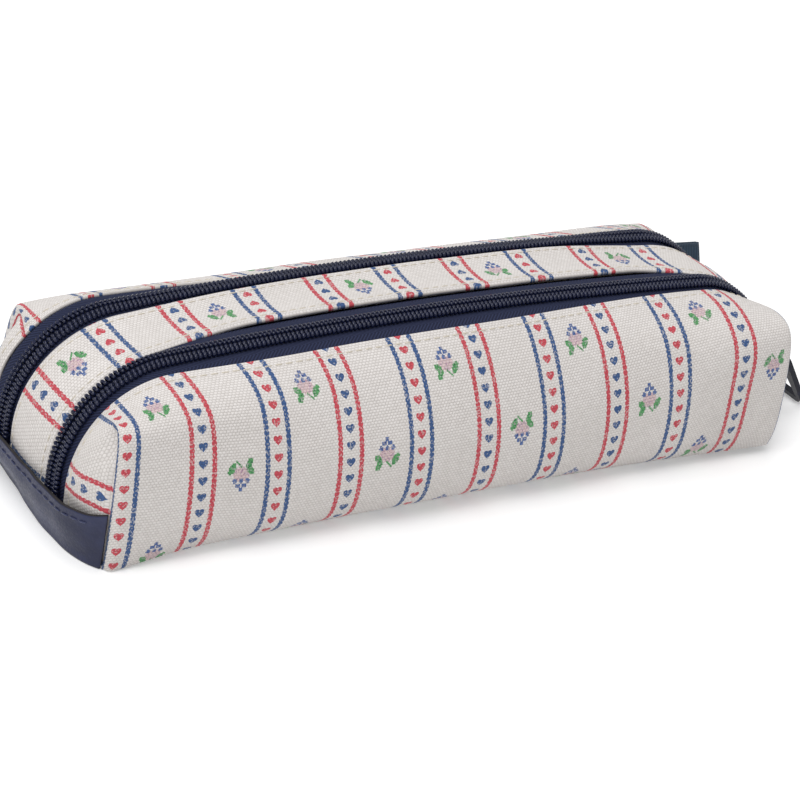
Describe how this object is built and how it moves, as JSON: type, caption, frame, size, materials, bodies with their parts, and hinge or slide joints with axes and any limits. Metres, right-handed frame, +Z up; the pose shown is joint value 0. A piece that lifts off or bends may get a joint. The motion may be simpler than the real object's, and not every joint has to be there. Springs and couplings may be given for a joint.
{
  "type": "pencil case",
  "caption": "Soft boxy canvas pencil case with two compartments, each closed by its own coil zip over the top.",
  "frame": {"origin": "centre of the flat base, on the surface that the case stands on", "axes": "+X along the case towards the end with the zip pulls, +Y from the front panel to the back panel, +Z up"},
  "size_m": [0.2414, 0.0796, 0.0478],
  "materials": {
    "canvas": "off-white woven canvas with a printed pattern of narrow striped bands, small hearts and sprigs",
    "zip_tape": "navy herringbone zip tape",
    "zip_coil": "glossy dark navy nylon coil",
    "zip_stop": "near-black navy enamel",
    "slider_enamel": "near-black navy enamel, satin",
    "pull_enamel": "near-black navy enamel, satin",
    "patch_leather": "navy leather-look sheet, semi-gloss, with dark cut edges",
    "tab_ribbon": "dark teal woven ribbon",
    "lining_cloth": "thin navy lining cloth"
  },
  "bodies": {
    "case": {"front_panel": "canvas", "back_panel": "canvas", "middle_strip": "canvas", "base_panel": "canvas", "left_end_patch": "patch_leather", "right_end_patch": "patch_leather", "divider": "lining_cloth", "front_pocket_lining": "lining_cloth", "back_pocket_lining": "lining_cloth", "side_tab": "tab_ribbon", "front_zip_outer_tape": "zip_tape", "front_zip_outer_coil": "zip_coil", "front_zip_inner_tape": "zip_tape", "front_zip_inner_coil": "zip_coil", "front_zip_end_stops": "zip_stop", "back_zip_outer_tape": "zip_tape", "back_zip_outer_coil": "zip_coil", "back_zip_inner_tape": "zip_tape", "back_zip_inner_coil": "zip_coil", "back_zip_end_stops": "zip_stop"},
    "front_slider": {"front_slider_body": "slider_enamel", "front_slider_bridge": "slider_enamel"},
    "front_pull": {"front_pull": "pull_enamel"},
    "back_slider": {"back_slider_body": "slider_enamel", "back_slider_bridge": "slider_enamel"},
    "back_pull": {"back_pull": "pull_enamel"}
  },
  "joints": [
    {"name": "front_slider_run", "type": "hinge", "parent": "case", "child": "front_slider", "pos_m": [0.081, -0.014, 0.015], "axis": [0, -1, 0], "range_deg": [0, 60]},
    {"name": "front_pull_swing", "type": "hinge", "parent": "front_slider", "child": "front_pull", "pos_m": [0.11189, -0.014, 0.02716], "axis": [0, -1, 0], "range_deg": [-10, 165]},
    {"name": "back_slider_run", "type": "hinge", "parent": "case", "child": "back_slider", "pos_m": [0.081, 0.014, 0.015], "axis": [0, -1, 0], "range_deg": [0, 60]},
    {"name": "back_pull_swing", "type": "hinge", "parent": "back_slider", "child": "back_pull", "pos_m": [0.11189, 0.014, 0.02716], "axis": [0, -1, 0], "range_deg": [-10, 165]}
  ]
}
